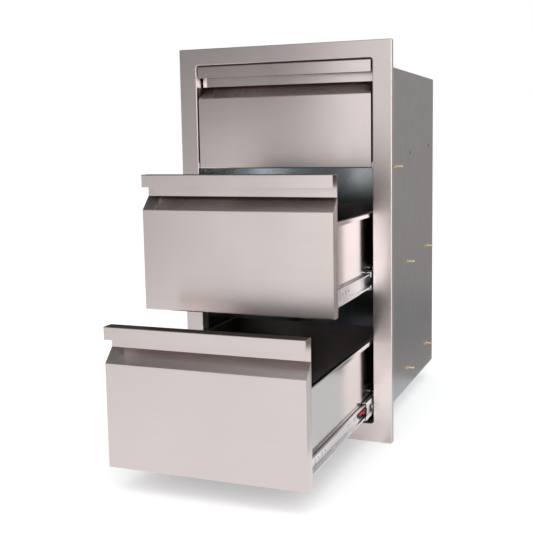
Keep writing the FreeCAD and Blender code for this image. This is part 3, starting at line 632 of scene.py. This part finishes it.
def small_finish(
    slot, dark, light, worn_colour, metal, smooth, rough, density, depth, radius, reach=0.004, shade_amount=0.55,
):
    """A finish for small parts: cloudy colour, bright worn edges, painted shade in the corners, fine skin.
    """
    made, tree, shader = new_material(slot + " finish", Metallic=metal)
    place = add_node(tree, "TexCoord")
    haze = place_group(tree, clouds, {"Density": density, "Contrast": 0.5})
    join(tree, place.outputs["Object"], haze.inputs["Vector"])
    wear = place_group(tree, edges, {"Radius": radius})
    corner_shade = place_group(tree, corners, {"Reach": reach, "Amount": shade_amount})
    body = mix_colours(tree, dark, light, haze.outputs["Mask"])
    rubbed = lay_over(tree, body, worn_colour, wear.outputs["Mask"])
    # The corners get a painted shade: a darker copy of the part's own colour.
    shade_colour = [SMALL_PART_SHADE * tone for tone in dark]
    join(tree, lay_over(tree, rubbed, shade_colour, corner_shade.outputs["Mask"]), shader.inputs["Base Color"])
    gloss = add_node(tree, "MapRange", {"To Min": smooth, "To Max": rough})
    join(tree, haze.outputs["Mask"], gloss.inputs["Value"])
    join(tree, gloss.outputs["Result"], shader.inputs["Roughness"])
    skin = add_node(tree, "TexNoise", {"Scale": SKIN_SCALE, "Detail": 2.0})
    join(tree, place.outputs["Object"], skin.inputs["Vector"])
    relief = add_node(tree, "Bump", {"Strength": 0.3, "Distance": depth})
    join(tree, skin.outputs["Fac"], relief.inputs["Height"])
    join(tree, relief.outputs["Normal"], shader.inputs["Normal"])
    FINISHES[slot] = made


small_finish(
    "bright_zinc", (0.86, 0.87, 0.89), (0.92, 0.93, 0.94), (0.96, 0.96, 0.96),
    metal=1.0, smooth=0.30, rough=0.38, density=45, depth=0.000003, radius=0.0006, reach=0.010, shade_amount=0.95,
)
small_finish(
    "ball_cage", (0.58, 0.59, 0.60), (0.68, 0.69, 0.70), (0.80, 0.80, 0.80),
    metal=1.0, smooth=0.15, rough=0.25, density=60, depth=0.00001, radius=0.0003,
)
small_finish(
    "plain_steel", (0.52, 0.51, 0.50), (0.64, 0.63, 0.62), (0.78, 0.77, 0.76),
    metal=1.0, smooth=0.22, rough=0.34, density=70, depth=0.00002, radius=0.0005,
)
small_finish(
    "polished_steel", (0.68, 0.67, 0.66), (0.76, 0.75, 0.74), (0.82, 0.81, 0.80),
    metal=1.0, smooth=0.06, rough=0.14, density=30, depth=0.00001, radius=0.0005,
)
small_finish(
    "copper_plate", (0.90, 0.67, 0.42), (0.98, 0.79, 0.55), (1.0, 0.90, 0.76),
    metal=1.0, smooth=0.24, rough=0.36, density=220, depth=0.00002, radius=0.0003,
)
small_finish(
    "yellow_zinc", (0.82, 0.72, 0.52), (0.92, 0.83, 0.63), (0.98, 0.93, 0.80),
    metal=1.0, smooth=0.24, rough=0.34, density=120, depth=0.00001, radius=0.0003, reach=0.002, shade_amount=0.3,
)
small_finish(
    "red_plastic", (0.66, 0.010, 0.014), (0.78, 0.016, 0.022), (0.88, 0.10, 0.11),
    metal=0.0, smooth=0.32, rough=0.46, density=60, depth=0.00003, radius=0.0005,
)
small_finish(
    "black_plastic", (0.008, 0.008, 0.009), (0.016, 0.016, 0.018), (0.06, 0.06, 0.06),
    metal=0.0, smooth=0.46, rough=0.60, density=60, depth=0.00003, radius=0.0003,
)
small_finish(
    "dark_nylon", (0.07, 0.07, 0.072), (0.11, 0.11, 0.112), (0.20, 0.20, 0.20),
    metal=0.0, smooth=0.40, rough=0.55, density=60, depth=0.00003, radius=0.0005,
)
small_finish(
    "pale_nylon", (0.70, 0.68, 0.63), (0.80, 0.78, 0.73), (0.86, 0.85, 0.82),
    metal=0.0, smooth=0.40, rough=0.52, density=60, depth=0.00003, radius=0.0005,
)
print("all finishes:", sorted(FINISHES))

# %% [markdown]
# Each part of the model already carries the name of its material slot. The better finish goes into
# the object's own material slot, so the part itself isn't touched.

# %% Dress the model's parts
for part in frame["record"]["subparts"]:
    NODES[part["node"]].material_slots[0].material = FINISHES[part["material_slot"]]
NODES["trim_frame"].material_slots[0].material = FINISHES["frame"]

# %% [markdown]
# ## Tools for the small parts
#
# The small parts are turned, pressed or moulded, and each is made here the way it could be made by
# hand in Blender. A turned part starts as a filled circle that is extruded along its axis and scaled
# at every step, so a list of distances and radii is all that it needs. Measures are in millimetres,
# because that is how such parts are drawn, and MM turns them into metres.
#
# An operator acts on whatever is selected, so every part starts by selecting nothing.

# %% Helpers for small parts
MM = 0.001
SHARP_EDGE = math.radians(32)
X_AXIS_UP = (0, math.pi / 2, 0)


def start_fresh():
    """Goes back to object mode with nothing selected."""
    if bpy.context.object is not None and bpy.context.object.mode != "OBJECT":
        bpy.ops.object.mode_set(mode="OBJECT")
    bpy.ops.object.select_all(action="DESELECT")


def hold(piece):
    """Selects one piece alone and makes it the active one."""
    start_fresh()
    piece.select_set(True)
    bpy.context.view_layer.objects.active = piece


def turn_part(name, rings, segments=24):
    """Turns a part about X from rings of (distance along X, radius), closed at both ends."""
    start_fresh()
    first, radius = rings[0]
    bpy.ops.mesh.primitive_circle_add(
        vertices=segments, radius=radius * MM, fill_type="NGON",
        location=(first * MM, 0, 0), rotation=X_AXIS_UP,
    )
    part = bpy.context.object
    part.name = name
    bpy.ops.object.transform_apply(location=True, rotation=True, scale=True)
    bpy.ops.object.mode_set(mode="EDIT")
    for (before, old), (after, new) in zip(rings, rings[1:]):
        bpy.ops.mesh.extrude_region_move(TRANSFORM_OT_translate={"value": ((after - before) * MM, 0, 0)})
        bpy.ops.transform.resize(value=(1, new / old, new / old), center_override=(after * MM, 0, 0))
    bpy.ops.mesh.select_all(action="SELECT")
    bpy.ops.mesh.normals_make_consistent(inside=False)
    bpy.ops.object.mode_set(mode="OBJECT")
    bpy.ops.object.shade_smooth_by_angle(angle=SHARP_EDGE)
    return part


def pick_faces(piece, wanted):
    """Selects the faces for which wanted(centre, normal) is true, and opens edit mode on them."""
    hold(piece)
    bpy.ops.object.mode_set(mode="EDIT")
    bpy.ops.mesh.select_all(action="DESELECT")
    bpy.ops.object.mode_set(mode="OBJECT")
    for face in piece.data.polygons:
        face.select = wanted(face.center / MM, face.normal)
    bpy.ops.object.mode_set(mode="EDIT")
    bpy.ops.mesh.select_mode(type="FACE")


def add_block(name, low, high):
    """Adds a block between two corners given in millimetres, with its size in its mesh."""
    start_fresh()
    size = [(b - a) * MM for a, b in zip(low, high)]
    middle = [(a + b) / 2 * MM for a, b in zip(low, high)]
    bpy.ops.mesh.primitive_cube_add(size=1, location=middle)
    made = bpy.context.object
    made.name = name
    made.scale = size
    bpy.ops.object.transform_apply(location=True, rotation=True, scale=True)
    return made


def cut_away(piece, cutter):
    """Cuts one closed mesh out of another and deletes the cutter."""
    hold(piece)
    change = piece.modifiers.new("cut", "BOOLEAN")
    change.operation = "DIFFERENCE"
    change.solver = "EXACT"
    change.object = cutter
    bpy.ops.object.modifier_apply(modifier="cut")
    bpy.data.objects.remove(cutter)


def soften(piece, width):
    """Rounds the sharp edges a little, as a mould or a press leaves them."""
    hold(piece)
    change = piece.modifiers.new("soften", "BEVEL")
    change.width = width * MM
    change.segments = 2
    change.limit_method = "ANGLE"
    change.angle_limit = SHARP_EDGE
    bpy.ops.object.modifier_apply(modifier="soften")
    bpy.ops.object.shade_smooth_by_angle(angle=math.radians(40))


def join_pieces(pieces, name):
    """Joins pieces into one and faces all of it outwards."""
    start_fresh()
    for piece in pieces:
        piece.select_set(True)
    bpy.context.view_layer.objects.active = pieces[0]
    if len(pieces) > 1:
        bpy.ops.object.join()
    whole = bpy.context.object
    bpy.ops.object.transform_apply(location=True, rotation=True, scale=True)
    bpy.ops.object.mode_set(mode="EDIT")
    bpy.ops.mesh.select_all(action="SELECT")
    bpy.ops.mesh.normals_make_consistent(inside=False)
    bpy.ops.object.mode_set(mode="OBJECT")
    whole.name = name
    whole.data.name = name
    return whole


def copy_of(model):
    """Copies a model, and gives the copy its own mesh."""
    hold(model)
    bpy.ops.object.duplicate()
    return bpy.context.object


def place_copies(model, name, places):
    """Puts a copy of a model at each place, joins the copies, and removes the model."""
    twins = []
    for place in places:
        twin = copy_of(model)
        twin.matrix_world = place
        twins.append(twin)
    bpy.data.objects.remove(model)
    return join_pieces(twins, name)


def both_sides(spots, shift=0):
    """For each (distance into the island, height): its place on the right, and turned round for the left."""
    places = []
    for y, z in spots:
        spot = Matrix.Translation((0, (y - shift) * MM, z * MM))
        places += [spot, spot @ Matrix.Rotation(math.pi, 4, "Z")]
    return places


def hand_over(piece, slot, body, *nodes, finish=None):
    """Dresses a finished piece, and says what it rides on and which plain parts it stands for."""
    piece.data.materials.clear()
    piece.data.materials.append(FINISHES[finish or slot])
    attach(piece, body)
    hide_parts(*nodes)
    print(piece.name, "faces:", len(piece.data.polygons))


# %% [markdown]
# ## Weld studs and their nuts
#
# Studs welded to the slide plates and hinge straps stick out through the case. A real thread is a
# helix, but rings of crests and roots look the same at this size, and they keep the mesh closed. The
# nut is a six-sided cylinder: its ends are inset and its sides are shortened, which slopes the rims,
# and its bore is cut by a cylinder as wide as the stud.

# %% Weld studs
# A spot is a distance behind the island's face, and a height.
STOP_SPOT = (18.3, 634.43)
STUD_SPOTS = (
    (255, 327.5), (451, 340.5), (255, 85.7), (451, 98.7), (43, 540.5), (145, 540.5), STOP_SPOT,
)
STUD_BASE = 186.2
STUD_SIDES = 14
THREAD_PITCH = 0.8
THREAD_TURNS = 22
CREST = 2.5
ROOT = 2.1

rings = [(STUD_BASE, CREST), (STUD_BASE + 1.0, CREST)]
for turn_number in range(THREAD_TURNS):
    start = STUD_BASE + 1.4 + turn_number * THREAD_PITCH
    rings += [(start, ROOT), (start + THREAD_PITCH / 2, CREST)]
rings += [(STUD_BASE + 19.4, ROOT), (STUD_BASE + 20, 1.7)]
stud = turn_part("weld_stud", rings, segments=STUD_SIDES)
studs = place_copies(stud, "weld_studs", both_sides(STUD_SPOTS))
hand_over(studs, "copper_plate", "case", "case_studs")

# %% Nuts
NUT_BASE = 187.2
NUT_HEIGHT = 4.5
NUT_FLATS = 8
NUT_MIDDLE = ((NUT_BASE + NUT_HEIGHT / 2) * MM, 0, 0)

start_fresh()
bpy.ops.mesh.primitive_cylinder_add(
    vertices=6, radius=NUT_FLATS / math.sqrt(3) * MM, depth=NUT_HEIGHT * MM,
    location=NUT_MIDDLE, rotation=X_AXIS_UP,
)
nut = bpy.context.object
bpy.ops.object.transform_apply(location=True, rotation=True, scale=True)
pick_faces(nut, lambda centre, normal: abs(normal.x) > 0.9)
bpy.ops.mesh.inset(thickness=0.45 * MM, use_individual=True)
pick_faces(nut, lambda centre, normal: abs(normal.x) < 0.1)
bpy.ops.transform.resize(value=(0.88, 1, 1), center_override=NUT_MIDDLE)
bore = turn_part("bore", [(NUT_BASE - 1, CREST), (NUT_BASE + NUT_HEIGHT + 1, CREST)], segments=STUD_SIDES)
cut_away(nut, bore)
nuts = place_copies(nut, "stud_nuts", both_sides(STUD_SPOTS))
hand_over(nuts, "bright_zinc", "case", "case_nuts", finish="yellow_zinc")

# %% [markdown]
# ## Hinge pins and stop pins
#
# The door hangs on two riveted pins, and two more ride in its curved slots. Their heads are formed
# by a press, so they are low domes with a soft rim.

# %% Pins
HINGE_SPOT = (-5, 547.5)
DOME = [(177.3, 1.4), (177.42, 2.5), (177.75, 3.4), (178.2, 3.9), (178.6, 4.0), (179.1, 4.0)]
WIDE_DOME = [(x, radius + 0.2) for x, radius in DOME]
hinge_pin = turn_part("hinge_pin", DOME + [(179.1, 2.5), (184.4, 2.5), (184.8, 2.1)])
hinge_pins = place_copies(hinge_pin, "hinge_pin_pair", both_sides([HINGE_SPOT]))
hand_over(hinge_pins, "plain_steel", "case", "hinge_pins")
stop_pin = turn_part("stop_pin", WIDE_DOME + [(179.1, 3.0), (186.2, 3.0)])
stop_pins = place_copies(stop_pin, "stop_pin_pair", both_sides([STOP_SPOT]))
hand_over(stop_pins, "plain_steel", "case", "door_stop_pins")

# %% [markdown]
# ## Plugs of the towel rod
#
# Each end of the rod turns on a moulded plug with a small journal. The one on the left has a shoulder
# that meets the tube; the one on the right slides into the tube against a spring, so it has none.

# %% Rod plugs
ROD_SPOT = (76.317, 628.817)
PLUG_SIDES = 32
SLIDING_RADIUS = 6.92

plug_rings = [(161, 5.6), (162, 7.0), (166, 7.0), (166.4, 6.4), (168, 6.4), (168.4, 7.0), (177, 7.0)]
journal = [(179, 4.0), (182, 4.0), (182.5, 3.3)]
shoulder = [(177, 8.0), (178.3, 8.0), (179, 7.2)]
fixed_plug = turn_part("fixed_plug", plug_rings + shoulder + journal, segments=PLUG_SIDES)
spot = Matrix.Translation((0, ROD_SPOT[0] * MM, ROD_SPOT[1] * MM))
fixed_plug = place_copies(fixed_plug, "fixed_rod_plug", [spot @ Matrix.Rotation(math.pi, 4, "Z")])
hand_over(fixed_plug, "dark_nylon", "towel_rod", "towel_rod_fixed_plug")
sprung_rings = [(x, min(radius, SLIDING_RADIUS)) for x, radius in plug_rings]
nose = [(178.3, SLIDING_RADIUS), (179, 6.2)]
sprung_plug = turn_part("sprung_plug", sprung_rings + nose + journal, segments=PLUG_SIDES)
sprung_plug = place_copies(sprung_plug, "sprung_rod_plug", [spot])
hand_over(sprung_plug, "dark_nylon", "towel_rod_plug", "towel_rod_sprung_plug")

# %% [markdown]
# ## Screws and rivets of the drawers
#
# Four pan-head screws hold each front, driven from inside the tray, and three blind rivets hold each
# drawer channel. The screw's cross is cut by two tapered blocks. A blind rivet keeps a small dimple
# where its pulling stem broke off.

# %% Screws and rivets
# How far each drawer is drawn out at rest, and the height that its measures start from.
DRAWERS = {"middle": (236, 291.0), "bottom": (377, 40.5)}
SLIDE_RISE = 32
SCREW_SEAT = 14
SCREW_SIDES = (-120, 120)
SCREW_HEIGHTS = (40, 120)
RIVET_START = 83
RIVET_PITCH = 190
RIVETS_PER_SIDE = 3
ROUND_SIDES = 20

head = [(0, 4.0), (0.6, 4.0), (1.3, 3.6), (1.8, 2.9), (2.2, 1.7)]
shank = [(-5, 1.3), (-4.5, 1.9), (-3.9, 2.0), (-0.2, 2.0), (0, 2.0)]
rivet_rings = [
    (170.0, 1.3), (170.2, 2.3), (170.7, 3.2), (171.2, 3.6), (171.3, 3.6), (171.3, 2.0),
    (173.5, 2.0), (173.5, 3.6), (173.7, 3.6), (174.3, 3.1), (174.7, 2.2), (174.8, 1.3), (174.4, 1.0),
]
screw_model = turn_part("screw_model", shank + head, segments=ROUND_SIDES)
for turned in (0, math.pi / 2):
    wing = add_block("wing", (0.9, -2.1, -0.45), (3.0, 2.1, 0.45))
    pick_faces(wing, lambda centre, normal: normal.x < -0.9)
    bpy.ops.transform.resize(value=(1, 0.45, 0.7), center_override=(0.9 * MM, 0, 0))
    bpy.ops.object.mode_set(mode="OBJECT")
    wing.rotation_euler = (turned, 0, 0)
    bpy.ops.object.transform_apply(location=True, rotation=True, scale=True)
    cut_away(screw_model, wing)
rivet_model = turn_part("rivet_model", rivet_rings, segments=ROUND_SIDES)
quarter_turn = Matrix.Rotation(math.pi / 2, 4, "Z")
for drawer, (pulled, low) in DRAWERS.items():
    spots = []
    for x in SCREW_SIDES:
        for rise in SCREW_HEIGHTS:
            seat = (x * MM, (SCREW_SEAT - pulled) * MM, (low + rise) * MM)
            spots.append(Matrix.Translation(seat) @ quarter_turn)
    screws = place_copies(copy_of(screw_model), drawer + "_pan_head_screws", spots)
    hand_over(screws, "plain_steel", drawer + "_drawer", drawer + "_front_screws")
    row = [(RIVET_START + number * RIVET_PITCH, low + SLIDE_RISE) for number in range(RIVETS_PER_SIDE)]
    rivets = place_copies(copy_of(rivet_model), drawer + "_blind_rivets", both_sides(row, pulled))
    hand_over(rivets, "plain_steel", drawer + "_drawer", drawer + "_tray_rivets")
bpy.data.objects.remove(screw_model)
bpy.data.objects.remove(rivet_model)

# %% [markdown]
# ## Release levers
#
# Each slide has a small red lever. Pressing it frees the drawer from the slide. It is moulded with a
# round hub, a slender arm that bends like an S, and a wider pad for a fingertip with three ribs.
# The hub is a cylinder; the faces of its front side are extruded step by step, shifted and scaled, and
# then everything is softened, because a mould never leaves a sharp edge.

# %% Release levers
LEVER_PIVOT = 326
LEVER_BACK = 175.0
LEVER_FACE = 178.0
LEVER_MIDDLE = (LEVER_FACE + LEVER_BACK) / 2 * MM
HUB_RADIUS = 5.4
PIVOT_RADIUS = 2.08
HUB_FRONT = -5.2
ARM_START = -6
PAD_START = -20

# Each step of the arm: how far back to front (less than zero), how far up, and its height's scale.
ARM_STEPS = (
    (-3.5, 0.9, 0.60), (-5.0, 1.4, 0.80), (-5.0, 0.9, 0.95), (-3.5, 0.0, 1.20),
    (-3.5, -0.2, 1.20), (-3.5, -0.2, 1.0), (-2.4, 0.0, 0.66),
)


def lever_spots(pulled, low):
    """The place of a drawer's right lever, and the same place mirrored to its left side."""
    pivot = Matrix.Translation((0, (LEVER_PIVOT - pulled) * MM, (low + SLIDE_RISE) * MM))
    return [pivot @ Matrix.Diagonal((sign, 1, 1, 1)) for sign in (1, -1)]


start_fresh()
bpy.ops.mesh.primitive_cylinder_add(
    vertices=24, radius=HUB_RADIUS * MM, depth=(LEVER_FACE - LEVER_BACK) * MM,
    location=(LEVER_MIDDLE, 0, 0), rotation=X_AXIS_UP,
)
lever_model = bpy.context.object
bpy.ops.object.transform_apply(location=True, rotation=True, scale=True)
pick_faces(lever_model, lambda centre, normal: normal.y < -0.8)
reach, rise = HUB_FRONT, 0.0
for forward, up, scale in ARM_STEPS:
    bpy.ops.mesh.extrude_region_move(TRANSFORM_OT_translate={"value": (0, forward * MM, up * MM)})
    reach, rise = reach + forward, rise + up
    middle = (LEVER_MIDDLE, reach * MM, rise * MM)
    bpy.ops.transform.resize(value=(1, 0.35, scale), center_override=middle)
bpy.ops.object.mode_set(mode="OBJECT")
print("the lever reaches", round(-reach, 1), "mm forward and ends", round(rise, 1), "mm up")
pick_faces(lever_model, lambda centre, normal: normal.x > 0.9 and PAD_START < centre.y < ARM_START)
bpy.ops.mesh.inset(thickness=0.5 * MM, depth=-0.5 * MM)
pick_faces(lever_model, lambda centre, normal: normal.x > 0.9 and centre.y < PAD_START)
bpy.ops.mesh.inset(thickness=0.35 * MM, use_individual=True)
bpy.ops.mesh.extrude_region_move(TRANSFORM_OT_translate={"value": (-0.4 * MM, 0, 0)})
bore = turn_part("bore", [(LEVER_BACK - 1, PIVOT_RADIUS), (LEVER_FACE + 1, PIVOT_RADIUS)])
cut_away(lever_model, bore)
soften(lever_model, 0.22)
for drawer, (pulled, low) in DRAWERS.items():
    for side, spot in zip(("right", "left"), lever_spots(pulled, low)):
        lever = place_copies(copy_of(lever_model), drawer + "_red_lever_" + side, [spot])
        hand_over(lever, "red_plastic", drawer + "_lever_" + side, drawer + "_release_lever_" + side)
bpy.data.objects.remove(lever_model)

# %% [markdown]
# ## Lever seats
#
# The lever sits in a black moulded seat that clips into the drawer's channel: a thin plate with a
# raised rim, a ribbed block behind, and a round cap on a stud that the lever turns on.

# %% Lever seats
SEAT_BACK = 173.5
SEAT_HALF = 9.5
SEAT_FRONT = -36
SEAT_END = 16.8
NOSE_START = -20
BLOCK_START = 6.8
RIB_HEIGHTS = (-5.7, -1.9, 1.9, 5.7)

plate = add_block("seat_plate", (SEAT_BACK, SEAT_FRONT, -SEAT_HALF), (SEAT_BACK + 1.2, SEAT_END, SEAT_HALF))
pick_faces(plate, lambda centre, normal: True)
bpy.ops.mesh.bisect(plane_co=(0, NOSE_START * MM, 0), plane_no=(0, 1, 0))
pick_faces(plate, lambda centre, normal: normal.y < -0.9)
bpy.ops.transform.resize(value=(1, 1, 0.36), center_override=(0, SEAT_FRONT * MM, 2.2 * MM))
pick_faces(plate, lambda centre, normal: normal.x > 0.9)
bpy.ops.mesh.inset(thickness=0.7 * MM, depth=-0.5 * MM)
soften(plate, 0.2)
block = add_block("seat_block", (SEAT_BACK, BLOCK_START, -SEAT_HALF), (SEAT_BACK + 5.4, SEAT_END, SEAT_HALF))
hold(block)
bpy.ops.object.mode_set(mode="EDIT")
bpy.ops.mesh.select_all(action="SELECT")
for height in RIB_HEIGHTS:
    bpy.ops.mesh.bisect(plane_co=(0, 0, height * MM), plane_no=(0, 0, 1))
    bpy.ops.mesh.select_all(action="SELECT")
bpy.ops.object.mode_set(mode="OBJECT")
pick_faces(block, lambda centre, normal: normal.x > 0.9)
bpy.ops.mesh.inset(thickness=0.7 * MM, depth=-1.6 * MM, use_individual=True)
soften(block, 0.25)
cap_rings = [
    (SEAT_BACK + 0.5, 2.0), (178.3, 2.0), (178.3, 3.2), (178.7, 3.3),
    (179.05, 3.0), (179.2, 2.1), (179.05, 1.1),
]
cap = turn_part("seat_cap", cap_rings)
seat_model = join_pieces([plate, block, cap], "seat_model")
for drawer, (pulled, low) in DRAWERS.items():
    seats = place_copies(copy_of(seat_model), drawer + "_lever_seats", lever_spots(pulled, low))
    hand_over(
        seats, "black_plastic", drawer + "_drawer",
        drawer + "_lever_seat_right", drawer + "_lever_seat_left",
    )
bpy.data.objects.remove(seat_model)
